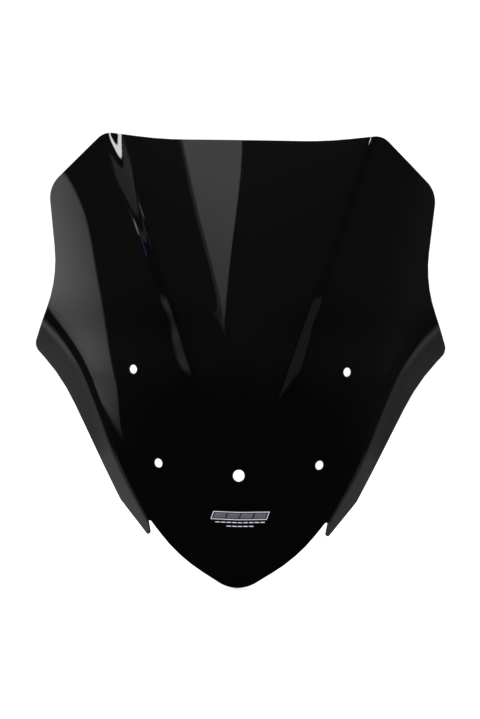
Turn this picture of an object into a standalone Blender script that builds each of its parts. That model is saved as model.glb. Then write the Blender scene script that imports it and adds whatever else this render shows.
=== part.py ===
"""Motorcycle windshield screen.

One moulded sheet of gloss black acrylic: a bowed centre panel with a soft ridge, two side
panels that sweep back from a pair of soft creases, and a flange folded back along each lower
side.  Five plain holes take the fixings, and a small printed mark sits above the nose.

Frame, in metres: the front faces -Y, +Z is up and +X is to the right of someone who looks at
the front.  The origin is on the front face at the middle of the lower centre hole.
"""
import math

import bmesh
import bpy
from mathutils import Vector, geometry
from mathutils.kdtree import KDTree

MM = 0.001

# Sheet and holes
THICKNESS = 3.0 * MM
RIM_BREAK = 0.45 * MM
OUTER_HOLE_DIAMETER = 10.0 * MM
CENTRE_HOLE_DIAMETER = 13.0 * MM
UPPER_HOLE = (115.0 * MM, 111.0 * MM)
LOWER_HOLE = (86.5 * MM, 11.0 * MM)
LAND_RADIUS = 9.5 * MM
LAND_FADE = 7.0 * MM

# Lengthwise shape: a gentle bow, and a nose that curves back under it
BOW_RADIUS = 1667.0 * MM
BOW_HEIGHT = 75.0 * MM
NOSE_START = 20.0 * MM
NOSE_BLEND = 10.0 * MM
NOSE_SLOPE = 0.30
NOSE_ROUNDING = 70.0 * MM

# Centre ridge: rounded at the top, tighter towards the nose
RIDGE_SLOPE = 0.20
RIDGE_SLOPE_GAIN = 0.8
RIDGE_GAIN_BELOW = 80.0 * MM
RIDGE_GAIN_BLEND = 30.0 * MM
RIDGE_ROUNDING = 1.5 * MM
RIDGE_OPENS_ABOVE = 150.0 * MM
RIDGE_OPENING_BLEND = 25.0 * MM
RIDGE_OPENING = 0.10

# Creases between the centre panel and the side panels
CREASE_X = 16.5 * MM
CREASE_LEAN = 0.342
CREASE_SLOPE = 0.095
CREASE_SLOPE_GAIN = 0.433
CREASE_ROUNDING = 7.0 * MM
SIDE_ROLL_RADIUS = 556.0 * MM
SIDE_ROLL_BLEND = 20.0 * MM
SIDE_ROLL_FROM = -40.0 * MM
SIDE_ROLL_FULL = 100.0 * MM

# Flanges folded back along the lower sides
FLANGE_X = 120.9 * MM
FLANGE_LEAN = 0.466
FLANGE_TURNS_ABOVE = 108.0 * MM
FLANGE_TURN_RADIUS = 77.0 * MM
FLANGE_TURN_BLEND = 10.0 * MM
FLANGE_SLOPE = 0.62
FLANGE_ROUNDING = 9.0 * MM

# Right half of the outline from the top edge to the nose: each corner is where two straight
# stretches would meet, as x, z and the radius that rounds it, in millimetres.
OUTLINE_TOP = 357.0
OUTLINE_CORNERS = (
    (87.0, 357.2, 400.0),
    (149.7, 365.7, 19.0),
    (211.2, 308.4, 30.0),
    (200.0, 208.4, 140.0),
    (228.8, 135.1, 12.0),
    (194.6, 99.8, 216.0),
    (128.4, -30.2, 15.0),
    (95.3, -71.3, 1.5),
    (98.2, -51.8, 1.2),
    (94.0, -52.2, 1.5),
    (64.4, -90.4, 167.0),
    (0.0, -128.9, 40.0),
)

# Mesh density: the field of points is laid over this width and from one height to the other
PITCH = 12.0 * MM
FIELD_WIDTH = 240.0 * MM
FIELD_LOW = -130.0 * MM
FIELD_HIGH = 370.0 * MM
ROWS_CLEARANCE = 0.35 * PITCH
FIELD_CLEARANCE = 0.62 * PITCH
SHORTEST_EDGE = 0.2 * MM
ARC_STEP = math.radians(15.0)
FEWEST_ARC_STEPS = 3
NOSE_ARC_STEPS = 4
HOLE_SEGMENTS = 24
SLOPE_STEP = 0.5 * MM
CREASE_ROWS = (-6.0 * MM, -2.0 * MM, 2.0 * MM, 6.0 * MM)
FLANGE_ROWS = (-8.0 * MM, -2.7 * MM, 2.7 * MM, 8.0 * MM)

# Printed mark on the front, above the nose
PRINT_GAP = 0.3 * MM
PRINT_THICKNESS = 0.2 * MM
PRINT_X = 2.0 * MM
EMBLEM_Z = -42.8 * MM
EMBLEM_SIZE = (60.0 * MM, 8.8 * MM)
EMBLEM_LINE = 1.0 * MM
STRIPE_SIZE = (22.0 * MM, 2.2 * MM)
BAR_SIZE = (54.0 * MM, 1.2 * MM)
BAR_Z = -50.0 * MM
SHORT_BAR_SIZE = (30.0 * MM, 1.2 * MM)
SHORT_BAR_Z = -54.1 * MM
PRINT_SLANT = 0.35
PRINT_PITCH = 2.5 * MM


def clear_scene():
    """Remove whatever the file holds before modelling starts."""
    for old in list(bpy.data.objects):
        bpy.data.objects.remove(old, do_unlink=True)


def ramp(value, rounding):
    """Zero below zero and rising one to one above it, rounded over about `rounding`."""
    return 0.5 * (value + math.hypot(value, rounding))


def eased(value):
    """Zero below zero, one above one, and a smooth rise between them."""
    value = min(max(value, 0.0), 1.0)
    return value * value * (3.0 - 2.0 * value)


def crease_x(z):
    """Distance of the centre panel's crease from the middle, at height z."""
    return CREASE_X + CREASE_LEAN * z


def flange_x(z):
    """Distance of the flange's fold from the middle, at height z."""
    turn = ramp(z - FLANGE_TURNS_ABOVE, FLANGE_TURN_BLEND)
    return FLANGE_X + FLANGE_LEAN * z + turn * turn / (2.0 * FLANGE_TURN_RADIUS)


def flange_lean(z):
    """How fast the fold moves out with height, at height z."""
    return FLANGE_LEAN + max(z - FLANGE_TURNS_ABOVE, 0.0) / FLANGE_TURN_RADIUS


def free_depth(x, z):
    """How far the front face lies behind a flat plane, before the lands and the origin."""
    across = abs(x)
    bow = (z - BOW_HEIGHT) ** 2 / (2.0 * BOW_RADIUS)
    below_nose = ramp(NOSE_START - z, NOSE_BLEND)
    nose = NOSE_SLOPE * (math.hypot(below_nose, NOSE_ROUNDING) - NOSE_ROUNDING)

    opened = ramp(z - RIDGE_OPENS_ABOVE, RIDGE_OPENING_BLEND)
    opening = RIDGE_ROUNDING + RIDGE_OPENING * opened
    slope = RIDGE_SLOPE + RIDGE_SLOPE_GAIN * ramp(RIDGE_GAIN_BELOW - z, RIDGE_GAIN_BLEND)
    ridge = math.hypot(slope * across, opening) - opening

    past_crease = across - crease_x(z)
    crease_slope = max(CREASE_SLOPE + CREASE_SLOPE_GAIN * z, 0.0)
    crease = crease_slope * ramp(past_crease, CREASE_ROUNDING)
    share = eased((z - SIDE_ROLL_FROM) / (SIDE_ROLL_FULL - SIDE_ROLL_FROM))
    side_roll = share * ramp(past_crease, SIDE_ROLL_BLEND) ** 2 / (2.0 * SIDE_ROLL_RADIUS)

    past_fold = (across - flange_x(z)) / math.hypot(1.0, flange_lean(z))
    flange = FLANGE_SLOPE * ramp(past_fold, FLANGE_ROUNDING)
    return bow + nose + ridge + crease + side_roll + flange


def slopes_of(surface, x, z):
    """Slopes of a surface along X and Z."""
    step = SLOPE_STEP
    along_x = (surface(x + step, z) - surface(x - step, z)) / (2.0 * step)
    along_z = (surface(x, z + step) - surface(x, z - step)) / (2.0 * step)
    return along_x, along_z


def make_lands():
    """Flat washer lands: each is a hole centre with the plane that its land lies in."""
    lands = []
    for centre_x, centre_z in (UPPER_HOLE, LOWER_HOLE):
        along_x, along_z = slopes_of(free_depth, centre_x, centre_z)
        lands.append((centre_x, centre_z, free_depth(centre_x, centre_z), along_x, along_z))
    return lands


LANDS = make_lands()
ORIGIN_DEPTH = free_depth(0.0, 0.0)


def depth(x, z):
    """Y of the front face at x, z, flat on the washer lands."""
    across = abs(x)
    value = free_depth(across, z)
    for centre_x, centre_z, centre_depth, along_x, along_z in LANDS:
        distance = math.hypot(across - centre_x, z - centre_z)
        if distance < LAND_RADIUS + LAND_FADE:
            fade = eased((LAND_RADIUS + LAND_FADE - distance) / LAND_FADE)
            flat = centre_depth + along_x * (across - centre_x) + along_z * (z - centre_z)
            value += (flat - value) * fade
    return value - ORIGIN_DEPTH


def front_normal(x, z):
    """Unit normal of the front face, towards -Y."""
    along_x, along_z = slopes_of(depth, x, z)
    return Vector((along_x, -1.0, along_z)).normalized()


def rounded_path(start, corners, end):
    """Points of a path with an arc at each corner, corners being x, z and radius."""
    points = [Vector(start)]
    stops = [Vector(start)] + [Vector(corner[:2]) for corner in corners] + [Vector(end)]
    for index, corner in enumerate(corners):
        here = stops[index + 1]
        to_last = (stops[index] - here).normalized()
        to_next = (stops[index + 2] - here).normalized()
        radius = corner[2]
        half_angle = 0.5 * to_last.angle(to_next)
        reach = radius / math.tan(half_angle)
        middle = here + (to_last + to_next).normalized() * radius / math.sin(half_angle)
        first = here + to_last * reach - middle
        last = here + to_next * reach - middle
        turn = first.angle_signed(last)
        steps = max(FEWEST_ARC_STEPS, math.ceil(abs(turn) / ARC_STEP))
        for step in range(steps + 1):
            angle = -turn * step / steps
            spun = Vector((first.x * math.cos(angle) - first.y * math.sin(angle),
                           first.x * math.sin(angle) + first.y * math.cos(angle)))
            points.append(middle + spun)
    points.append(Vector(end))
    return points


def split_long(points, longest):
    """The same path with every stretch longer than `longest` cut into equal steps."""
    result = [points[0]]
    for first, last in zip(points, points[1:]):
        steps = max(1, math.ceil((last - first).length / longest))
        result.extend(first.lerp(last, step / steps) for step in range(1, steps + 1))
    return result


def without_repeats(points):
    """The same loop without points that lie on the one before them."""
    kept = []
    for point in points:
        if not kept or (point - kept[-1]).length > SHORTEST_EDGE:
            kept.append(point)
    return kept


def half_outline():
    """Right half of the sheet in x and z, closed down the middle and round the centre hole."""
    corners = [(x * MM, z * MM, radius * MM) for x, z, radius in OUTLINE_CORNERS]
    nose_x, nose_z, nose_radius = corners[-1]
    before = Vector(corners[-2][:2]) - Vector((nose_x, nose_z))
    half_angle = before.angle(Vector((0.0, 1.0)))
    centre_z = nose_z + nose_radius / math.sin(half_angle)
    nose_arc = []
    start_angle = math.pi / 2.0 - half_angle
    for step in range(NOSE_ARC_STEPS + 1):
        angle = start_angle * (1.0 - step / NOSE_ARC_STEPS)
        nose_arc.append(Vector((nose_radius * math.sin(angle),
                                centre_z - nose_radius * math.cos(angle))))
    edge = rounded_path((0.0, OUTLINE_TOP * MM), corners[:-1], tuple(nose_arc[0]))
    edge = split_long(edge + nose_arc[1:], PITCH)
    edge[-1].x = 0.0

    radius = 0.5 * CENTRE_HOLE_DIAMETER
    half_steps = HOLE_SEGMENTS // 2
    hole = []
    for step in range(half_steps + 1):
        angle = -math.pi / 2.0 + math.pi * step / half_steps
        hole.append(Vector((radius * math.cos(angle), radius * math.sin(angle))))
    hole[0].x = 0.0
    hole[-1].x = 0.0
    middle = split_long([edge[-1], hole[0]], PITCH)[1:-1]
    middle += hole
    middle += split_long([hole[-1], edge[0]], PITCH)[1:-1]
    return without_repeats(edge + middle)


def ring_on_sheet(centre_x, centre_z, radius):
    """A ring that is round in the plane of the sheet, seen in x and z."""
    normal = front_normal(centre_x, centre_z)
    side = Vector((0.0, 0.0, 1.0)).cross(normal).normalized()
    up = normal.cross(side)
    ring = []
    for step in range(HOLE_SEGMENTS):
        angle = math.tau * step / HOLE_SEGMENTS
        offset = radius * (side * math.cos(angle) + up * math.sin(angle))
        ring.append(Vector((centre_x + offset.x, centre_z + offset.z)))
    return ring


def fold_rows():
    """Points along both creases, so that the mesh turns exactly where the sheet does."""
    rows = []
    for step in range(int((FIELD_HIGH - FIELD_LOW) / PITCH)):
        z = FIELD_LOW + PITCH * step
        for offset in CREASE_ROWS:
            x = crease_x(z) + offset * math.hypot(1.0, CREASE_LEAN)
            if x > 0.5 * PITCH:
                rows.append(Vector((x, z)))
        for offset in FLANGE_ROWS:
            x = flange_x(z) + offset * math.hypot(1.0, flange_lean(z))
            rows.append(Vector((x, z)))
    return rows


def field_points():
    """A field of evenly spaced points, each row shifted by half a step."""
    points = []
    row_height = PITCH * math.sqrt(0.75)
    for row in range(int((FIELD_HIGH - FIELD_LOW) / row_height) + 1):
        for column in range(int(FIELD_WIDTH / PITCH) + 1):
            x = PITCH * (column + 0.5 + 0.5 * (row % 2))
            points.append(Vector((x, FIELD_LOW + row_height * row)))
    return points


def keep_clear(candidates, placed, distance):
    """Add the candidates that stay `distance` away from every placed point."""
    tree = KDTree(len(placed))
    for index, point in enumerate(placed):
        tree.insert(point.to_3d(), index)
    tree.balance()
    added = []
    for point in candidates:
        if tree.find(point.to_3d())[2] >= distance:
            added.append(point)
    return placed + added


def loop_edges(start, count):
    """Edges of a closed loop of `count` points that begins at index `start`."""
    return [(start + step, start + (step + 1) % count) for step in range(count)]


def is_inside(point, loop):
    """Whether a point lies within a closed loop."""
    inside = False
    for first, last in zip(loop, loop[1:] + loop[:1]):
        if (first.y > point.y) != (last.y > point.y):
            share = (point.y - first.y) / (last.y - first.y)
            if point.x < first.x + share * (last.x - first.x):
                inside = not inside
    return inside


def filled_face(name, points, loops, place):
    """An open surface within the first loop and clear of the others, facing -Y."""
    edges = []
    start = 0
    for loop in loops:
        edges += loop_edges(start, len(loop))
        start += len(loop)
    cut = geometry.delaunay_2d_cdt(points, edges, [], 2, 1e-7)
    shape = bmesh.new()
    corners = [shape.verts.new(place(point.x, point.y)) for point in cut[0]]
    for triangle in cut[2]:
        middle = sum((cut[0][index] for index in triangle), Vector((0.0, 0.0))) / 3.0
        if any(is_inside(middle, hole) for hole in loops[1:]):
            continue
        face = shape.faces.new([corners[index] for index in triangle])
        face.normal_update()
        if face.normal.y > 0.0:
            face.normal_flip()
        face.smooth = True
    loose = [vert for vert in shape.verts if not vert.link_faces]
    bmesh.ops.delete(shape, geom=loose, context="VERTS")
    mesh = bpy.data.meshes.new(name)
    shape.to_mesh(mesh)
    shape.free()
    return mesh


def plain_material(name, colour, roughness):
    """A Principled material for a moulded or printed surface."""
    material = bpy.data.materials.new(name)
    material.use_nodes = True
    shader = material.node_tree.nodes["Principled BSDF"]
    shader.inputs["Base Color"].default_value = (*colour, 1.0)
    shader.inputs["Roughness"].default_value = roughness
    shader.inputs["Metallic"].default_value = 0.0
    return material


def make_object(name, mesh, collection, material):
    """Name a mesh's object, give it its material and put it in the collection."""
    item = bpy.data.objects.new(name, mesh)
    mesh.materials.append(material)
    collection.objects.link(item)
    return item


def sheet_mesh():
    """Right half of the front face as an open surface."""
    outline = half_outline()
    holes = []
    land_rings = []
    for centre in (UPPER_HOLE, LOWER_HOLE):
        hole_radius = 0.5 * OUTER_HOLE_DIAMETER
        holes.append(ring_on_sheet(*centre, hole_radius))
        land_rings += ring_on_sheet(*centre, 0.5 * (hole_radius + LAND_RADIUS))
        land_rings += ring_on_sheet(*centre, LAND_RADIUS)
    points = outline + holes[0] + holes[1] + land_rings
    points = keep_clear(fold_rows(), points, ROWS_CLEARANCE)
    points = keep_clear(field_points(), points, FIELD_CLEARANCE)
    return filled_face("screen_panel", points, [outline] + holes,
                       lambda x, z: (x, depth(x, z), z))


def build_screen(collection):
    """The moulded sheet: mirrored front face, thickness behind it, and broken rims."""
    acrylic = plain_material("gloss_black_acrylic", (0.006, 0.006, 0.007), 0.06)
    screen = make_object("screen_panel", sheet_mesh(), collection, acrylic)

    mirror = screen.modifiers.new("other_half", "MIRROR")
    mirror.use_axis = (True, False, False)
    mirror.merge_threshold = 0.0001

    wall = screen.modifiers.new("thickness", "SOLIDIFY")
    wall.thickness = THICKNESS
    wall.offset = -1.0
    wall.use_even_offset = True

    rim = screen.modifiers.new("broken_rims", "BEVEL")
    rim.width = RIM_BREAK
    rim.segments = 1
    rim.limit_method = "ANGLE"
    rim.angle_limit = math.radians(60.0)
    return screen


def slanted_box(width, height):
    """Outline of a leaning bar, centred on the mark."""
    lean = 0.5 * PRINT_SLANT * height
    return [Vector((-0.5 * width - lean, -0.5 * height)),
            Vector((0.5 * width - lean, -0.5 * height)),
            Vector((0.5 * width + lean, 0.5 * height)),
            Vector((-0.5 * width + lean, 0.5 * height))]


def print_film(name, loops, centre_z, collection, ink):
    """A thin film of ink that follows the front face; a second loop is left open."""
    fine = [split_long(loop + [loop[0]], PRINT_PITCH)[:-1] for loop in loops]

    def place(x, z):
        """Lift a point of the film clear of the sheet."""
        return (PRINT_X + x, depth(PRINT_X + x, centre_z + z) - PRINT_GAP, centre_z + z)

    mesh = filled_face(name, sum(fine, []), fine, place)
    film = make_object(name, mesh, collection, ink)
    wall = film.modifiers.new("ink_thickness", "SOLIDIFY")
    wall.thickness = PRINT_THICKNESS
    wall.offset = 1.0


def build_print(collection):
    """A plain generic mark: a leaning frame round one stripe, over two bars."""
    ink = plain_material("printed_ink", (0.62, 0.61, 0.66), 0.45)
    width, height = EMBLEM_SIZE
    frame = [slanted_box(width, height),
             slanted_box(width - 2.2 * EMBLEM_LINE, height - 2.0 * EMBLEM_LINE)]
    print_film("print_frame", frame, EMBLEM_Z, collection, ink)
    print_film("print_stripe", [slanted_box(*STRIPE_SIZE)], EMBLEM_Z, collection, ink)
    print_film("print_long_bar", [slanted_box(*BAR_SIZE)], BAR_Z, collection, ink)
    print_film("print_short_bar", [slanted_box(*SHORT_BAR_SIZE)], SHORT_BAR_Z, collection, ink)


def main():
    """Build the whole part in a collection of its own."""
    clear_scene()
    collection = bpy.data.collections.new("windshield_screen")
    bpy.context.scene.collection.children.link(collection)
    build_screen(collection)
    build_print(collection)


main()
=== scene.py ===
"""Looks of the motorcycle windshield screen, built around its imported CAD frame.

The sheet is rebuilt as a fine, smooth surface of the same form, with rounded rims, and takes a
polished black acrylic finish.  The printed mark is a plain generic one.  Distances are in metres
unless they are said to be in millimetres, and the studio's directions are in degrees.
"""
import math

import bmesh
import bpy
from mathutils import Matrix, Vector, geometry
from mathutils.kdtree import KDTree


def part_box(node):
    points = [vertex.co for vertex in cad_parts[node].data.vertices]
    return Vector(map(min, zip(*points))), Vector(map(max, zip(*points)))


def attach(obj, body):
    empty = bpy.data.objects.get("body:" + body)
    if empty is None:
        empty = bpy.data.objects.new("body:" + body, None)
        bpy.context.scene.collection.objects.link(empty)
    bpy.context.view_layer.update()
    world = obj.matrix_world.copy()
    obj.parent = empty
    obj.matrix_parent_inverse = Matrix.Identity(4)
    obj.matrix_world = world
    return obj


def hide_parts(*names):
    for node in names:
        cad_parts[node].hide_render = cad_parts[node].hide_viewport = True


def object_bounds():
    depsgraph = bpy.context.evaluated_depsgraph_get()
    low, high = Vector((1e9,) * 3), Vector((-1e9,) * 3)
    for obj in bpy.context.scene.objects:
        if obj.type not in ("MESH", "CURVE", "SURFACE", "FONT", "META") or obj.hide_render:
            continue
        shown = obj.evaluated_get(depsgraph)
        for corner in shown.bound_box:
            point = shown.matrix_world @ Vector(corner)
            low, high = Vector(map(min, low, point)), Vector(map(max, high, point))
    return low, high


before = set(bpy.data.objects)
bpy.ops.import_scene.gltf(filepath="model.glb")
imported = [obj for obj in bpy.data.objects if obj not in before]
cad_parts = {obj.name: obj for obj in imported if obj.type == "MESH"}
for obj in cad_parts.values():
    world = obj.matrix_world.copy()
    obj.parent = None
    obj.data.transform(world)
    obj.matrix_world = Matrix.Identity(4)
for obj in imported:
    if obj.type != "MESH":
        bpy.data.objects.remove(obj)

CAD_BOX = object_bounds()
MM = 0.001

# Form of the sheet: the same driving dimensions as the CAD model
THICKNESS = 3.0 * MM
OUTER_HOLE_DIAMETER = 10.0 * MM
CENTRE_HOLE_DIAMETER = 13.0 * MM
UPPER_HOLE = (115.0 * MM, 111.0 * MM)
LOWER_HOLE = (86.5 * MM, 11.0 * MM)
BOW_RADIUS = 1667.0 * MM
BOW_HEIGHT = 75.0 * MM
NOSE_START = 20.0 * MM
NOSE_BLEND = 10.0 * MM
NOSE_SLOPE = 0.30
NOSE_ROUNDING = 70.0 * MM
RIDGE_SLOPE = 0.20
RIDGE_SLOPE_GAIN = 0.8
RIDGE_GAIN_BELOW = 80.0 * MM
RIDGE_GAIN_BLEND = 30.0 * MM
RIDGE_ROUNDING = 1.5 * MM
RIDGE_OPENS_ABOVE = 150.0 * MM
RIDGE_OPENING_BLEND = 25.0 * MM
RIDGE_OPENING = 0.10
CREASE_X = 16.5 * MM
CREASE_LEAN = 0.342
CREASE_SLOPE = 0.095
CREASE_SLOPE_GAIN = 0.433
CREASE_ROUNDING = 7.0 * MM
SIDE_ROLL_RADIUS = 556.0 * MM
SIDE_ROLL_BLEND = 20.0 * MM
SIDE_ROLL_FROM = -40.0 * MM
SIDE_ROLL_FULL = 100.0 * MM
FLANGE_X = 120.9 * MM
FLANGE_LEAN = 0.466
FLANGE_TURNS_ABOVE = 108.0 * MM
FLANGE_TURN_RADIUS = 77.0 * MM
FLANGE_TURN_BLEND = 10.0 * MM
FLANGE_SLOPE = 0.62
FLANGE_ROUNDING = 9.0 * MM

# Right half of the outline in millimetres: its height at the middle, then x, z and radius of
# each corner, clockwise down to the nose
OUTLINE_TOP = 357.0
OUTLINE_CORNERS = (
    (87.0, 357.2, 400.0),
    (149.7, 365.7, 19.0),
    (211.2, 308.4, 30.0),
    (200.0, 208.4, 140.0),
    (228.8, 135.1, 12.0),
    (194.6, 99.8, 216.0),
    (128.4, -30.2, 15.0),
    (95.3, -71.3, 1.5),
    (98.2, -51.8, 1.2),
    (94.0, -52.2, 1.5),
    (64.4, -90.4, 167.0),
    (0.0, -128.9, 40.0),
)

# Fineness of the visible meshes
PITCH = 3.0 * MM
FIELD_WIDTH = 240.0 * MM
FIELD_LOW = -130.0 * MM
FIELD_HIGH = 370.0 * MM
FIELD_CLEARANCE = 0.55 * PITCH
SHORTEST_EDGE = 0.15 * MM
ARC_STEP = math.radians(6.0)
FEWEST_ARC_STEPS = 3
NOSE_ARC_STEPS = 12
HOLE_SEGMENTS = 48
HOLE_RING_COUNT = 3
HOLE_RING_STEP = 1.5 * MM
SLOPE_STEP = 0.5 * MM
MERGE_DISTANCE = 0.05 * MM
RIM_ROUNDING = 0.5 * MM
RIM_SEGMENTS = 3
RIM_ANGLE = math.radians(60.0)

# Delaunay cut: keep the triangles within the loops, and how close two points may be
KEEP_INSIDE = 2
CUT_TOLERANCE = 1e-7

# Keeps the finely rounded sheet within the box of the coarser CAD one
OUTLINE_FIT = 0.9995
FACE_INSET = 0.01 * MM

# Printed mark
PRINT_LIFT = 0.12 * MM
PRINT_THICKNESS = 0.03 * MM
PRINT_PITCH = 1.5 * MM
EMBLEM_SIZE = (60.0 * MM, 8.8 * MM)
EMBLEM_LINE = 0.8 * MM
EMBLEM_SLANT = 0.35
EMBLEM_SIDE_LINES = 2.2
EMBLEM_LEVEL_LINES = 2.0
BLOCK_COUNT = 4
BLOCK_MARGIN = 3.0 * MM
BLOCK_GAP = 1.2 * MM
BLOCK_HEIGHT = 5.6 * MM
DASH_ROWS = (
    ("printed_long_dashes", "print_long_bar", 54.0 * MM, 9),
    ("printed_short_dashes", "print_short_bar", 30.0 * MM, 5),
)
DASH_GAP = 1.3 * MM
DASH_HEIGHT = 1.0 * MM
DASH_SLANT = 0.2

# Finishes
ACRYLIC_COLOUR = (0.00062, 0.00060, 0.00066, 1.0)
ACRYLIC_IOR = 1.49
ACRYLIC_ROUGHNESS = (0.010, 0.022)
INK_ROUGHNESS = 0.5
PALE_INK = ((0.32, 0.31, 0.38), (0.50, 0.49, 0.59))
GREY_INK = ((0.035, 0.034, 0.042), (0.080, 0.078, 0.096))
FLOOR_COLOUR = (0.86, 0.86, 0.86, 1.0)
FLOOR_ROUGHNESS = 0.9

# Small studio lights: azimuth and elevation, radius and level
SPOTS = (
    ((-28.0, 10.6), 1.0, 1.1),
    ((-43.0, 3.6), 1.0, 2.2),
    ((30.4, 17.9), 0.8, 18.0),
)
SPOT_CORE = 0.6

# Blue tubes: azimuth from and to, elevation from and to, and level
TUBES = (
    (-41.7, -40.9, 1.0, 3.2, 1.9),
    (-31.0, -30.2, 5.6, 7.8, 1.4),
)
TUBE_SIDE_SOFTNESS = 0.3
TUBE_END_SOFTNESS = 0.4

# Stage, light and camera
FLOOR_SIZE = 12.0
FLOOR_GAP = 1.0 * MM
BACKDROP_STRENGTH = 1.1
AMBIENT_STRENGTH = 1.6
PURE_WHITE = (1.0, 1.0, 1.0, 1.0)
STUDIO_WHITE = (1.0, 0.985, 1.02, 1.0)
STUDIO_BLUE = (0.16, 0.26, 1.0, 1.0)
OVERHEAD_SIZE = (2.4, 1.8)
OVERHEAD_POWER = 45.0
OVERHEAD_PLACE = (0.0, -0.3, 2.2)
CAMERA_LENS = 104.6
CAMERA_SENSOR = 36.0
CAMERA_REACH = 60.0
CAMERA_PLACE = (-0.0004, -2.2042, 0.123)
CAMERA_ROLL = math.radians(0.8)


def ramp(value, rounding):
    """Zero below zero and rising one to one above it, rounded over about `rounding`."""
    return 0.5 * (value + math.hypot(value, rounding))


def eased(value):
    """Zero below zero, one above one, and a smooth rise between them."""
    value = min(max(value, 0.0), 1.0)
    return value * value * (3.0 - 2.0 * value)


def crease_x(z):
    """Distance of the centre panel's crease from the middle, at height z."""
    return CREASE_X + CREASE_LEAN * z


def flange_x(z):
    """Distance of the flange's fold from the middle, at height z."""
    turn = ramp(z - FLANGE_TURNS_ABOVE, FLANGE_TURN_BLEND)
    return FLANGE_X + FLANGE_LEAN * z + turn * turn / (2.0 * FLANGE_TURN_RADIUS)


def flange_lean(z):
    """How fast the fold moves out with height, at height z."""
    return FLANGE_LEAN + max(z - FLANGE_TURNS_ABOVE, 0.0) / FLANGE_TURN_RADIUS


def free_depth(x, z):
    """How far the front face lies behind a flat plane, before the shift to the origin."""
    across = abs(x)
    bow = (z - BOW_HEIGHT) ** 2 / (2.0 * BOW_RADIUS)
    below_nose = ramp(NOSE_START - z, NOSE_BLEND)
    nose = NOSE_SLOPE * (math.hypot(below_nose, NOSE_ROUNDING) - NOSE_ROUNDING)

    opened = ramp(z - RIDGE_OPENS_ABOVE, RIDGE_OPENING_BLEND)
    opening = RIDGE_ROUNDING + RIDGE_OPENING * opened
    slope = RIDGE_SLOPE + RIDGE_SLOPE_GAIN * ramp(RIDGE_GAIN_BELOW - z, RIDGE_GAIN_BLEND)
    ridge = math.hypot(slope * across, opening) - opening

    past_crease = across - crease_x(z)
    crease_slope = max(CREASE_SLOPE + CREASE_SLOPE_GAIN * z, 0.0)
    crease = crease_slope * ramp(past_crease, CREASE_ROUNDING)
    share = eased((z - SIDE_ROLL_FROM) / (SIDE_ROLL_FULL - SIDE_ROLL_FROM))
    side_roll = share * ramp(past_crease, SIDE_ROLL_BLEND) ** 2 / (2.0 * SIDE_ROLL_RADIUS)

    past_fold = (across - flange_x(z)) / math.hypot(1.0, flange_lean(z))
    flange = FLANGE_SLOPE * ramp(past_fold, FLANGE_ROUNDING)
    return bow + nose + ridge + crease + side_roll + flange


def slopes_of(surface, x, z):
    """Slopes of a surface along X and Z."""
    step = SLOPE_STEP
    along_x = (surface(x + step, z) - surface(x - step, z)) / (2.0 * step)
    along_z = (surface(x, z + step) - surface(x, z - step)) / (2.0 * step)
    return along_x, along_z


ORIGIN_DEPTH = free_depth(0.0, 0.0)


def depth(x, z):
    """Y of the front face at x, z."""
    return free_depth(x, z) - ORIGIN_DEPTH


def front_normal(x, z):
    """Unit normal of the front face, towards -Y."""
    along_x, along_z = slopes_of(depth, x, z)
    return Vector((along_x, -1.0, along_z)).normalized()


def rounded_path(start, corners, end):
    """Points of a path with an arc at each corner, corners being x, z and radius."""
    points = [Vector(start)]
    stops = [Vector(start)] + [Vector(corner[:2]) for corner in corners] + [Vector(end)]
    for index, corner in enumerate(corners):
        here = stops[index + 1]
        to_last = (stops[index] - here).normalized()
        to_next = (stops[index + 2] - here).normalized()
        radius = corner[2]
        half_angle = 0.5 * to_last.angle(to_next)
        reach = radius / math.tan(half_angle)
        middle = here + (to_last + to_next).normalized() * radius / math.sin(half_angle)
        first = here + to_last * reach - middle
        last = here + to_next * reach - middle
        turn = first.angle_signed(last)
        steps = max(FEWEST_ARC_STEPS, math.ceil(abs(turn) / ARC_STEP))
        for step in range(steps + 1):
            angle = -turn * step / steps
            spun = Vector((first.x * math.cos(angle) - first.y * math.sin(angle),
                           first.x * math.sin(angle) + first.y * math.cos(angle)))
            points.append(middle + spun)
    points.append(Vector(end))
    return points


def split_long(points, longest):
    """The same path with every stretch longer than `longest` cut into equal steps."""
    result = [points[0]]
    for first, last in zip(points, points[1:]):
        steps = max(1, math.ceil((last - first).length / longest))
        result.extend(first.lerp(last, step / steps) for step in range(1, steps + 1))
    return result


def without_repeats(points):
    """The same loop without points that lie on the one before them."""
    kept = []
    for point in points:
        if not kept or (point - kept[-1]).length > SHORTEST_EDGE:
            kept.append(point)
    return kept


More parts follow.
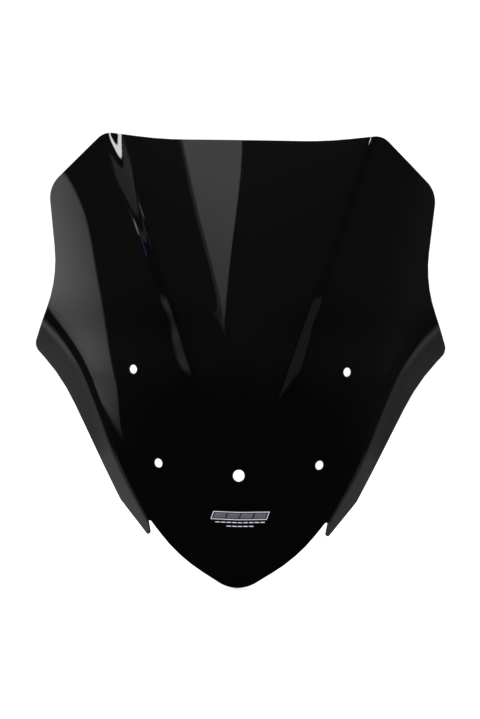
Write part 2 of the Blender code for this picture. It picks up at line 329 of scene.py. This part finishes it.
def half_outline():
    """Right half of the sheet in x and z, closed down the middle and round the centre hole."""
    scale = MM * OUTLINE_FIT
    corners = [(x * scale, z * scale, radius * MM) for x, z, radius in OUTLINE_CORNERS]
    nose_x, nose_z, nose_radius = corners[-1]
    before = Vector(corners[-2][:2]) - Vector((nose_x, nose_z))
    half_angle = before.angle(Vector((0.0, 1.0)))
    centre_z = nose_z + nose_radius / math.sin(half_angle)
    nose_arc = []
    start_angle = math.pi / 2.0 - half_angle
    for step in range(NOSE_ARC_STEPS + 1):
        angle = start_angle * (1.0 - step / NOSE_ARC_STEPS)
        nose_arc.append(Vector((nose_radius * math.sin(angle),
                                centre_z - nose_radius * math.cos(angle))))
    edge = rounded_path((0.0, OUTLINE_TOP * scale), corners[:-1], tuple(nose_arc[0]))
    edge = split_long(edge + nose_arc[1:], PITCH)
    edge[-1].x = 0.0

    radius = 0.5 * CENTRE_HOLE_DIAMETER
    half_steps = HOLE_SEGMENTS // 2
    hole = []
    for step in range(half_steps + 1):
        angle = -math.pi / 2.0 + math.pi * step / half_steps
        hole.append(Vector((radius * math.cos(angle), radius * math.sin(angle))))
    hole[0].x = 0.0
    hole[-1].x = 0.0
    middle = split_long([edge[-1], hole[0]], PITCH)[1:-1]
    middle += hole
    middle += split_long([hole[-1], edge[0]], PITCH)[1:-1]
    return without_repeats(edge + middle)


def ring_on_sheet(centre_x, centre_z, radius):
    """A ring that is round in the plane of the sheet, seen in x and z."""
    normal = front_normal(centre_x, centre_z)
    side = Vector((0.0, 0.0, 1.0)).cross(normal).normalized()
    up = normal.cross(side)
    ring = []
    for step in range(HOLE_SEGMENTS):
        angle = math.tau * step / HOLE_SEGMENTS
        offset = radius * (side * math.cos(angle) + up * math.sin(angle))
        ring.append(Vector((centre_x + offset.x, centre_z + offset.z)))
    return ring


def field_points():
    """A field of evenly spaced points, each row shifted by half a step."""
    points = []
    row_height = PITCH * math.sqrt(0.75)
    for row in range(int((FIELD_HIGH - FIELD_LOW) / row_height) + 1):
        for column in range(int(FIELD_WIDTH / PITCH) + 1):
            x = PITCH * (column + 0.5 + 0.5 * (row % 2))
            points.append(Vector((x, FIELD_LOW + row_height * row)))
    return points


def keep_clear(candidates, placed, distance):
    """Add the candidates that stay `distance` away from every placed point."""
    tree = KDTree(len(placed))
    for index, point in enumerate(placed):
        tree.insert(point.to_3d(), index)
    tree.balance()
    added = []
    for point in candidates:
        if tree.find(point.to_3d())[2] >= distance:
            added.append(point)
    return placed + added


def loop_edges(start, count):
    """Edges of a closed loop of `count` points that begins at index `start`."""
    return [(start + step, start + (step + 1) % count) for step in range(count)]


def is_inside(point, loop):
    """Whether a point lies within a closed loop."""
    inside = False
    for first, last in zip(loop, loop[1:] + loop[:1]):
        if (first.y > point.y) != (last.y > point.y):
            share = (point.y - first.y) / (last.y - first.y)
            if point.x < first.x + share * (last.x - first.x):
                inside = not inside
    return inside


def filled_face(name, points, loops, place):
    """An open surface within the first loop and clear of the others, facing -Y."""
    edges = []
    start = 0
    for loop in loops:
        edges += loop_edges(start, len(loop))
        start += len(loop)
    cut = geometry.delaunay_2d_cdt(points, edges, [], KEEP_INSIDE, CUT_TOLERANCE)
    shape = bmesh.new()
    corners = [shape.verts.new(place(point.x, point.y)) for point in cut[0]]
    for triangle in cut[2]:
        middle = sum((cut[0][index] for index in triangle), Vector((0.0, 0.0))) / 3.0
        if any(is_inside(middle, hole) for hole in loops[1:]):
            continue
        face = shape.faces.new([corners[index] for index in triangle])
        face.normal_update()
        if face.normal.y > 0.0:
            face.normal_flip()
        face.smooth = True
    loose = [vert for vert in shape.verts if not vert.link_faces]
    bmesh.ops.delete(shape, geom=loose, context="VERTS")
    mesh = bpy.data.meshes.new(name)
    shape.to_mesh(mesh)
    shape.free()
    return mesh


def new_piece(name, mesh, material, slot, *replaced):
    """Link a piece, let it ride on the part's only body and stand for its CAD nodes."""
    piece = bpy.data.objects.new(name, mesh)
    bpy.context.scene.collection.objects.link(piece)
    mesh.materials.append(material)
    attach(piece, "root")
    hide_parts(*replaced)
    return piece


def build_sheet(material):
    """The moulded sheet at its visible fineness, with rounded rims."""
    outline = half_outline()
    holes = []
    rings = []
    for centre in (UPPER_HOLE, LOWER_HOLE):
        holes.append(ring_on_sheet(*centre, 0.5 * OUTER_HOLE_DIAMETER))
        for step in range(1, HOLE_RING_COUNT + 1):
            radius = 0.5 * OUTER_HOLE_DIAMETER + HOLE_RING_STEP * step
            rings += ring_on_sheet(*centre, radius)
    points = outline + holes[0] + holes[1] + rings
    points = keep_clear(field_points(), points, FIELD_CLEARANCE)
    mesh = filled_face("moulded_screen", points, [outline] + holes,
                       lambda x, z: (x, depth(x, z) + FACE_INSET, z))
    sheet = new_piece("moulded_screen", mesh, material, "gloss_black_acrylic", "screen_panel")

    mirror = sheet.modifiers.new("other_half", "MIRROR")
    mirror.use_axis = (True, False, False)
    mirror.merge_threshold = MERGE_DISTANCE

    wall = sheet.modifiers.new("thickness", "SOLIDIFY")
    wall.thickness = THICKNESS - 2.0 * FACE_INSET
    wall.offset = -1.0
    wall.use_even_offset = True

    rim = sheet.modifiers.new("rounded_rims", "BEVEL")
    rim.width = RIM_ROUNDING
    rim.segments = RIM_SEGMENTS
    rim.limit_method = "ANGLE"
    rim.angle_limit = RIM_ANGLE
    rim.harden_normals = True


def node(tree, kind, **values):
    """A node with some of its settings; keys that name inputs set their values."""
    made = tree.nodes.new(kind)
    for key, value in values.items():
        if hasattr(made, key):
            setattr(made, key, value)
        else:
            made.inputs[key.replace("_", " ")].default_value = value
    return made


def feed(tree, target, value):
    """Link a socket into an input, or set the input to a number."""
    if isinstance(value, bpy.types.NodeSocket):
        tree.links.new(value, target)
    else:
        target.default_value = value


def calc(tree, operation, first, second=0.0):
    """Output of a Math node."""
    made = tree.nodes.new("ShaderNodeMath")
    made.operation = operation
    feed(tree, made.inputs[0], first)
    feed(tree, made.inputs[1], second)
    return made.outputs[0]


def map_range(tree, interpolation, value, *limits):
    """Output of a Map Range node; limits are its two input and two output ends."""
    made = tree.nodes.new("ShaderNodeMapRange")
    made.interpolation_type = interpolation
    feed(tree, made.inputs["Value"], value)
    for key, limit in zip(("From Min", "From Max", "To Min", "To Max"), limits):
        made.inputs[key].default_value = limit
    return made.outputs["Result"]


def glide(tree, value, low, high, out_low=0.0, out_high=1.0):
    """Output that goes smoothly from out_low to out_high as value goes from low to high."""
    return map_range(tree, "SMOOTHSTEP", value, low, high, out_low, out_high)


def linear(tree, value, low, high, out_low, out_high):
    """Output that goes evenly from out_low to out_high as value goes from low to high."""
    return map_range(tree, "LINEAR", value, low, high, out_low, out_high)


def between(tree, value, low, high, soft):
    """One between low and high, zero outside, over an edge that is `soft` wide."""
    rise = glide(tree, value, low - 0.5 * soft, low + 0.5 * soft)
    fall = glide(tree, value, high - 0.5 * soft, high + 0.5 * soft, 1.0, 0.0)
    return calc(tree, "MULTIPLY", rise, fall)


def acrylic_material():
    """Opaque black acrylic, polished, with the faint waviness that moulding leaves."""
    material = bpy.data.materials.new("polished_black_acrylic")
    material.use_nodes = True
    tree = material.node_tree
    shader = tree.nodes["Principled BSDF"]
    shader.inputs["Base Color"].default_value = ACRYLIC_COLOUR
    shader.inputs["IOR"].default_value = ACRYLIC_IOR
    place = node(tree, "ShaderNodeTexCoord").outputs["Object"]

    haze = node(tree, "ShaderNodeTexNoise", Scale=55.0, Detail=4.0, Roughness=0.6)
    tree.links.new(place, haze.inputs["Vector"])
    rough = glide(tree, haze.outputs["Fac"], 0.35, 0.75, *ACRYLIC_ROUGHNESS)
    tree.links.new(rough, shader.inputs["Roughness"])

    wave = node(tree, "ShaderNodeTexNoise", Scale=16.0, Detail=1.0, Roughness=0.4)
    tree.links.new(place, wave.inputs["Vector"])
    bump = node(tree, "ShaderNodeBump", Strength=0.35, Distance=0.0001)
    tree.links.new(wave.outputs["Fac"], bump.inputs["Height"])
    tree.links.new(bump.outputs["Normal"], shader.inputs["Normal"])
    return material


def ink_material(name, dark, light):
    """Screen-printing ink between two tones, a little uneven where it was pressed on."""
    material = bpy.data.materials.new(name)
    material.use_nodes = True
    tree = material.node_tree
    shader = tree.nodes["Principled BSDF"]
    place = node(tree, "ShaderNodeTexCoord").outputs["Object"]
    grain = node(tree, "ShaderNodeTexNoise", Scale=900.0, Detail=3.0, Roughness=0.6)
    tree.links.new(place, grain.inputs["Vector"])
    tone = tree.nodes.new("ShaderNodeValToRGB")
    tone.color_ramp.elements[0].position = 0.3
    tone.color_ramp.elements[0].color = (*dark, 1.0)
    tone.color_ramp.elements[1].position = 0.6
    tone.color_ramp.elements[1].color = (*light, 1.0)
    tree.links.new(grain.outputs["Fac"], tone.inputs["Fac"])
    tree.links.new(tone.outputs["Color"], shader.inputs["Base Color"])
    shader.inputs["Roughness"].default_value = INK_ROUGHNESS
    return material


def slanted_box(centre_x, centre_z, width, height, slant):
    """Outline of a leaning bar."""
    lean = 0.5 * slant * height
    return [Vector((centre_x - 0.5 * width - lean, centre_z - 0.5 * height)),
            Vector((centre_x + 0.5 * width - lean, centre_z - 0.5 * height)),
            Vector((centre_x + 0.5 * width + lean, centre_z + 0.5 * height)),
            Vector((centre_x - 0.5 * width + lean, centre_z + 0.5 * height))]


def film_mesh(name, shapes):
    """One mesh of thin printed shapes; each shape is a loop, or a loop and its open inside."""
    joined = bmesh.new()
    for loops in shapes:
        fine = [split_long(loop + [loop[0]], PRINT_PITCH)[:-1] for loop in loops]
        mesh = filled_face(name + "_film", sum(fine, []), fine,
                           lambda x, z: (x, depth(x, z) - PRINT_LIFT, z))
        joined.from_mesh(mesh)
        bpy.data.meshes.remove(mesh)
    mesh = bpy.data.meshes.new(name)
    joined.to_mesh(mesh)
    joined.free()
    return mesh


def build_film(name, shapes, material, *replaced):
    """A piece of printed ink, a few hundredths of a millimetre thick."""
    film = new_piece(name, film_mesh(name, shapes), material, "printed_ink", *replaced)
    wall = film.modifiers.new("ink_thickness", "SOLIDIFY")
    wall.thickness = PRINT_THICKNESS
    wall.offset = 1.0


def build_print(pale, grey):
    """The generic mark: a leaning frame round grey blocks, over two rows of dashes."""
    low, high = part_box("print_frame")
    middle = 0.5 * (low + high)
    width, height = EMBLEM_SIZE
    frame_loops = [slanted_box(middle.x, middle.z, width, height, EMBLEM_SLANT),
                   slanted_box(middle.x, middle.z, width - EMBLEM_SIDE_LINES * EMBLEM_LINE,
                               height - EMBLEM_LEVEL_LINES * EMBLEM_LINE, EMBLEM_SLANT)]
    build_film("printed_frame", [frame_loops], pale, "print_frame")

    pitch = (width - BLOCK_MARGIN) / BLOCK_COUNT
    blocks = []
    for step in range(BLOCK_COUNT):
        x = middle.x + (step - 0.5 * (BLOCK_COUNT - 1)) * pitch
        blocks.append([slanted_box(x, middle.z, pitch - BLOCK_GAP, BLOCK_HEIGHT, EMBLEM_SLANT)])
    build_film("printed_blocks", blocks, grey, "print_stripe")

    for name, node_name, row_width, count in DASH_ROWS:
        low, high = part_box(node_name)
        row = 0.5 * (low + high)
        step_width = row_width / count
        dashes = []
        for step in range(count):
            x = row.x + (step - 0.5 * (count - 1)) * step_width
            dashes.append([slanted_box(x, row.z, step_width - DASH_GAP, DASH_HEIGHT, DASH_SLANT)])
        build_film(name, dashes, pale, node_name)


def build_stage():
    """A plain white floor just under the lowest point of the screen."""
    low = CAD_BOX[0]
    bpy.ops.mesh.primitive_plane_add(size=FLOOR_SIZE, location=(0.0, 0.0, low.z - FLOOR_GAP))
    floor = bpy.context.object
    floor.name = "floor"
    material = bpy.data.materials.new("white_floor")
    material.use_nodes = True
    shader = material.node_tree.nodes["Principled BSDF"]
    shader.inputs["Base Color"].default_value = FLOOR_COLOUR
    shader.inputs["Roughness"].default_value = FLOOR_ROUGHNESS
    shader.inputs["Specular IOR Level"].default_value = 0.0
    floor.data.materials.append(material)
    floor.visible_glossy = False


def product(tree, *values):
    """Product of several values."""
    result = values[0]
    for value in values[1:]:
        result = calc(tree, "MULTIPLY", result, value)
    return result


def total(tree, values):
    """Sum of several values."""
    result = values[0]
    for value in values[1:]:
        result = calc(tree, "ADD", result, value)
    return result


def above(tree, value, start):
    """How far value lies above start, or zero."""
    return calc(tree, "MAXIMUM", calc(tree, "SUBTRACT", value, start), 0.0)


def over_bowl(tree, azimuth, elevation, middle, lowest, curve):
    """Height over a bowl-shaped line whose lowest point is at azimuth `middle`."""
    offset = calc(tree, "SUBTRACT", azimuth, middle)
    line = calc(tree, "ADD", product(tree, offset, offset, curve), lowest)
    return calc(tree, "SUBTRACT", elevation, line)


def spot(tree, azimuth, elevation, centre, radius, level):
    """A small round light with a soft edge."""
    across = calc(tree, "SUBTRACT", azimuth, centre[0])
    upward = calc(tree, "SUBTRACT", elevation, centre[1])
    squares = calc(tree, "ADD", product(tree, across, across), product(tree, upward, upward))
    distance = calc(tree, "SQRT", squares)
    return glide(tree, distance, SPOT_CORE * radius, radius, level, 0.0)


def dim_room(tree, azimuth, sideways, elevation):
    """The studio's dark walls, a little lighter above and to the sides."""
    front_width = 18.0
    horizon_lift = 0.27
    horizon = (-1.5, 6.5)
    wall_levels = (0.020, 0.076)
    ceiling_edge = (12.0, 26.0)
    ceiling_level = 0.035
    dark_corner = (27.0, 42.0)
    corner_softness = 5.0
    corner_loss = 0.35
    patch_inner_edge = (57.0, 64.0)
    patch_outer_edge = (68.0, 76.0)
    patch_foot = (-9.0, -6.0)
    patch_level = 0.045

    lifted = calc(tree, "MULTIPLY", above(tree, sideways, front_width), horizon_lift)
    wall = glide(tree, calc(tree, "ADD", elevation, lifted), *horizon, *wall_levels)
    ceiling = glide(tree, elevation, *ceiling_edge, 0.0, ceiling_level)
    lost = product(tree, between(tree, sideways, *dark_corner, corner_softness), corner_loss)
    kept = calc(tree, "SUBTRACT", 1.0, lost)
    right_patch = product(tree, glide(tree, azimuth, *patch_inner_edge, 0.0, patch_level),
                          glide(tree, azimuth, *patch_outer_edge, 1.0, 0.0),
                          glide(tree, elevation, *patch_foot))
    return calc(tree, "ADD", product(tree, calc(tree, "ADD", wall, ceiling), kept), right_patch)


def left_softbox(tree, azimuth, elevation):
    """Softbox at the left with one rounded corner, brighter away from the front."""
    corner_azimuth = -63.6
    corner_elevation = -0.8
    corner_edge = (5.8, 6.5)
    outer_edge = (-72.2, -70.2)
    foot_edge = (-9.8, -8.8)
    foot_leans_past = 58.0
    foot_lean = 0.12
    bright_span = (-68.0, -57.5)
    bright_levels = (2.35, 1.05)
    foot_span = (-10.0, -4.5)
    foot_level = 0.42
    head_span = (-3.0, 5.0)
    head_level = 0.86

    across = above(tree, azimuth, corner_azimuth)
    upward = above(tree, elevation, corner_elevation)
    squares = calc(tree, "ADD", product(tree, across, across), product(tree, upward, upward))
    outward = above(tree, calc(tree, "MULTIPLY", azimuth, -1.0), foot_leans_past)
    over_foot = calc(tree, "ADD", elevation, product(tree, outward, foot_lean))
    return product(
        tree,
        glide(tree, calc(tree, "SQRT", squares), *corner_edge, 1.0, 0.0),
        glide(tree, azimuth, *outer_edge),
        glide(tree, over_foot, *foot_edge),
        linear(tree, azimuth, *bright_span, *bright_levels),
        glide(tree, elevation, *foot_span, foot_level, 1.0),
        glide(tree, elevation, *head_span, 1.0, head_level))


def wedge_panel(tree, azimuth, elevation):
    """Tall panel above the front, cut by a curved edge on each side, with a dim border."""
    curve_from = 4.0
    curve_height = 2.2
    curve_reach = 4.3
    left_reach = 14.0
    left_softness = 0.2
    right_curve_below = 25.2
    right_curve = 0.0385
    right_reach = 0.35
    right_softness = 0.25
    bright_span = (5.0, 22.0)
    bright_levels = (0.36, 0.93)
    border_span = (7.0, 22.0)
    border_widths = (1.05, 0.5)
    border_softness = 0.12
    border_level = 0.27
    foot_span = (3.2, 6.5)
    foot_level = 0.35
    foot_edge = (3.4, 4.0)

    fall = calc(tree, "DIVIDE", calc(tree, "SUBTRACT", curve_from, elevation), curve_height)
    bulge = calc(tree, "MULTIPLY", calc(tree, "EXPONENT", fall), curve_reach)
    past_left = calc(tree, "ADD", calc(tree, "ADD", azimuth, bulge), left_reach)
    drop = above(tree, calc(tree, "MULTIPLY", elevation, -1.0), -right_curve_below)
    reach = calc(tree, "ADD", product(tree, drop, drop, right_curve), right_reach)
    past_right = calc(tree, "ADD", azimuth, reach)
    bright = calc(tree, "MULTIPLY", glide(tree, past_left, -left_softness, left_softness),
                  linear(tree, elevation, *bright_span, *bright_levels))
    border_width = linear(tree, elevation, *border_span, *border_widths)
    border = glide(tree, calc(tree, "ADD", past_left, border_width),
                   -border_softness, border_softness, 0.0, border_level)
    return product(
        tree,
        calc(tree, "ADD", bright, border),
        glide(tree, past_right, -right_softness, right_softness, 1.0, 0.0),
        glide(tree, elevation, *foot_span, foot_level, 1.0),
        glide(tree, elevation, *foot_edge))


def side_walls(tree, azimuth, sideways, elevation):
    """White walls at both sides, brighter towards the front, the floor and the left."""
    floor_line = 15.0
    floor_lean = 0.3
    near_span = (-18.5, -14.5)
    near_levels = (0.54, 0.12)
    near_edge = (92.0, 99.0)
    skirting_edge = (80.5, 83.0)
    skirting_span = (-17.0, -15.0)
    skirting_level = 0.35
    wall_edge = (85.5, 89.0)
    wall_level = 0.38
    rear_edge = (120.0, 140.0)
    top_edge = (-6.0, 2.0)
    right_span = (-20.0, 20.0)
    right_level = 0.57

    below = calc(tree, "MINIMUM", calc(tree, "ADD", elevation, floor_line), 0.0)
    shifted = calc(tree, "ADD", sideways, product(tree, below, floor_lean))
    near = product(tree, glide(tree, elevation, *near_span, *near_levels),
                   glide(tree, shifted, *near_edge, 1.0, 0.0))
    skirting = product(tree, glide(tree, sideways, *skirting_edge),
                       glide(tree, elevation, *skirting_span, skirting_level, 0.0))
    return product(
        tree,
        calc(tree, "MAXIMUM", skirting, glide(tree, sideways, *wall_edge)),
        calc(tree, "ADD", near, wall_level),
        glide(tree, sideways, *rear_edge, 1.0, 0.0),
        glide(tree, elevation, *top_edge, 1.0, 0.0),
        glide(tree, azimuth, *right_span, 1.0, right_level))


def rear_lights(tree, sideways, elevation):
    """Two tall panels behind the screen, and a pale ceiling."""
    panel_edges = (146.0, 160.0)
    panel_softness = 5.0
    panel_heights = (-10.0, 62.0)
    panel_end_softness = 12.0
    panel_level = 0.8
    ceiling_edge = (48.0, 74.0)
    ceiling_level = 0.9

    panels = product(tree, between(tree, sideways, *panel_edges, panel_softness),
                     between(tree, elevation, *panel_heights, panel_end_softness), panel_level)
    return [panels, glide(tree, elevation, *ceiling_edge, 0.0, ceiling_level)]


def curved_lamp(tree, azimuth, elevation):
    """Bright lamp at the left that is bent like a bowl, and the glow between it and the wall."""
    middle = -42.0
    lamp_low = 12.35
    lamp_curve = 0.0255
    lamp_height = 1.35
    lamp_softness = 0.35
    lamp_ends = (-43.2, -24.4)
    lamp_end_softness = 1.2
    lamp_level = 16.0
    gap_widens_left_of = 28.0
    gap_curve = 0.008
    gap = 0.5
    glow_low = 5.8
    glow_curve = 0.035
    glow_foot = (-0.4, 0.6)
    glow_head = (-0.2, 0.2)
    glow_ends = (-47.5, -24.5)
    glow_end_softness = 2.0
    glow_span = (4.0, 14.0)
    glow_levels = (0.26, 0.45)

    over_lamp = over_bowl(tree, azimuth, elevation, middle, lamp_low, lamp_curve)
    lamp = product(tree, between(tree, over_lamp, 0.0, lamp_height, lamp_softness),
                   between(tree, azimuth, *lamp_ends, lamp_end_softness), lamp_level)

    inward = calc(tree, "MINIMUM", calc(tree, "ADD", azimuth, gap_widens_left_of), 0.0)
    under_lamp = calc(tree, "ADD", product(tree, inward, inward, gap_curve), gap)
    over_glow = over_bowl(tree, azimuth, elevation, middle, glow_low, glow_curve)
    glow = product(tree, glide(tree, over_glow, *glow_foot),
                   glide(tree, calc(tree, "ADD", over_lamp, under_lamp), *glow_head, 1.0, 0.0),
                   between(tree, azimuth, *glow_ends, glow_end_softness),
                   linear(tree, elevation, *glow_span, *glow_levels))
    return [lamp, glow]


def crease_strips(tree, azimuth, elevation):
    """Thin bowed line at the left, and one narrow slanted strip on each side."""
    line_bowl = (-41.0, 3.5, 0.045)
    line_edges = (-0.3, 0.8)
    line_softness = 0.4
    line_ends = (-44.8, -27.0)
    line_end_softness = 1.0
    line_level = 0.28
    left_middle = 37.0
    left_lean = 0.27
    left_drop = 2.9
    left_edges = (-0.45, 0.85)
    left_softness = 1.2
    left_foot = (-4.2, -3.2)
    left_ends = (-40.5, -32.0)
    left_end_softness = 3.0
    left_level = 0.42
    right_start = -29.5
    right_lean = 0.3
    right_edge = (0.1, 0.8)
    right_heights = (-4.1, 0.6)
    right_height_softness = 0.8
    right_ends = (29.3, 40.5)
    right_end_softness = 1.5
    right_level = 0.16

    over_line = over_bowl(tree, azimuth, elevation, *line_bowl)
    line = product(tree, between(tree, over_line, *line_edges, line_softness),
                   between(tree, azimuth, *line_ends, line_end_softness), line_level)

    slope = product(tree, calc(tree, "ADD", azimuth, left_middle), left_lean)
    over_slope = calc(tree, "SUBTRACT", calc(tree, "ADD", elevation, left_drop), slope)
    left_strip = product(tree, between(tree, over_slope, *left_edges, left_softness),
                         glide(tree, elevation, *left_foot),
                         between(tree, azimuth, *left_ends, left_end_softness), left_level)

    slope = product(tree, calc(tree, "ADD", azimuth, right_start), right_lean)
    over_slope = calc(tree, "ADD", elevation, slope)
    right_strip = product(tree, glide(tree, over_slope, *right_edge, 1.0, 0.0),
                          between(tree, elevation, *right_heights, right_height_softness),
                          between(tree, azimuth, *right_ends, right_end_softness), right_level)
    return [line, left_strip, right_strip]


def studio_reflections(tree):
    """Brightness of the studio that the gloss reflects, and of its two blue tubes.

    Azimuth is 0 in front of the screen and positive to the right of someone who looks at it.
    """
    direction = node(tree, "ShaderNodeTexCoord").outputs["Generated"]
    parts = node(tree, "ShaderNodeSeparateXYZ")
    tree.links.new(direction, parts.inputs[0])
    toward = calc(tree, "MULTIPLY", parts.outputs["Y"], -1.0)
    azimuth = calc(tree, "DEGREES", calc(tree, "ARCTAN2", parts.outputs["X"], toward))
    elevation = calc(tree, "DEGREES", calc(tree, "ARCSINE", parts.outputs["Z"]))
    sideways = calc(tree, "ABSOLUTE", azimuth)

    lights = [dim_room(tree, azimuth, sideways, elevation),
              left_softbox(tree, azimuth, elevation),
              wedge_panel(tree, azimuth, elevation),
              side_walls(tree, azimuth, sideways, elevation)]
    lights += rear_lights(tree, sideways, elevation)
    lights += curved_lamp(tree, azimuth, elevation)
    lights += crease_strips(tree, azimuth, elevation)
    lights += [spot(tree, azimuth, elevation, *settings) for settings in SPOTS]

    tubes = []
    for left, right, low, high, level in TUBES:
        tubes.append(product(tree, between(tree, azimuth, left, right, TUBE_SIDE_SOFTNESS),
                             between(tree, elevation, low, high, TUBE_END_SOFTNESS), level))
    return total(tree, lights), total(tree, tubes)


def build_light():
    """White surroundings for the eye and the floor, and a dark studio for the gloss."""
    world = bpy.data.worlds.new("studio")
    bpy.context.scene.world = world
    world.use_nodes = True
    tree = world.node_tree
    tree.nodes.clear()
    output = tree.nodes.new("ShaderNodeOutputWorld")
    plain = node(tree, "ShaderNodeBackground", Color=PURE_WHITE, Strength=BACKDROP_STRENGTH)
    ambient = node(tree, "ShaderNodeBackground", Color=PURE_WHITE, Strength=AMBIENT_STRENGTH)
    white = node(tree, "ShaderNodeBackground", Color=STUDIO_WHITE)
    blue = node(tree, "ShaderNodeBackground", Color=STUDIO_BLUE)
    white_level, blue_level = studio_reflections(tree)
    tree.links.new(white_level, white.inputs["Strength"])
    tree.links.new(blue_level, blue.inputs["Strength"])
    studio = tree.nodes.new("ShaderNodeAddShader")
    tree.links.new(white.outputs[0], studio.inputs[0])
    tree.links.new(blue.outputs[0], studio.inputs[1])
    path = tree.nodes.new("ShaderNodeLightPath")
    glossy = tree.nodes.new("ShaderNodeMixShader")
    tree.links.new(path.outputs["Is Glossy Ray"], glossy.inputs[0])
    tree.links.new(ambient.outputs[0], glossy.inputs[1])
    tree.links.new(studio.outputs[0], glossy.inputs[2])
    seen = tree.nodes.new("ShaderNodeMixShader")
    tree.links.new(path.outputs["Is Camera Ray"], seen.inputs[0])
    tree.links.new(glossy.outputs[0], seen.inputs[1])
    tree.links.new(plain.outputs[0], seen.inputs[2])
    tree.links.new(seen.outputs[0], output.inputs["Surface"])

    lamp = bpy.data.lights.new("overhead_softbox", "AREA")
    lamp.shape = "RECTANGLE"
    lamp.size, lamp.size_y = OVERHEAD_SIZE
    lamp.energy = OVERHEAD_POWER
    lamp.specular_factor = 0.0
    overhead = bpy.data.objects.new("overhead_softbox", lamp)
    overhead.location = OVERHEAD_PLACE
    bpy.context.scene.collection.objects.link(overhead)
    bpy.context.scene.view_settings.view_transform = "Standard"


def build_camera():
    """A long lens straight in front, level with the middle of the screen."""
    data = bpy.data.cameras.new("camera")
    data.lens = CAMERA_LENS
    data.sensor_width = CAMERA_SENSOR
    data.clip_end = CAMERA_REACH
    camera = bpy.data.objects.new("camera", data)
    place = Matrix.Translation(CAMERA_PLACE)
    upright = Matrix.Rotation(math.radians(90.0), 4, "X")
    roll = Matrix.Rotation(CAMERA_ROLL, 4, "Z")
    camera.matrix_world = place @ upright @ roll
    bpy.context.scene.collection.objects.link(camera)
    bpy.context.scene.camera = camera


build_camera()
build_stage()
build_light()
build_sheet(acrylic_material())
build_print(ink_material("pale_printing_ink", *PALE_INK),
            ink_material("grey_printing_ink", *GREY_INK))
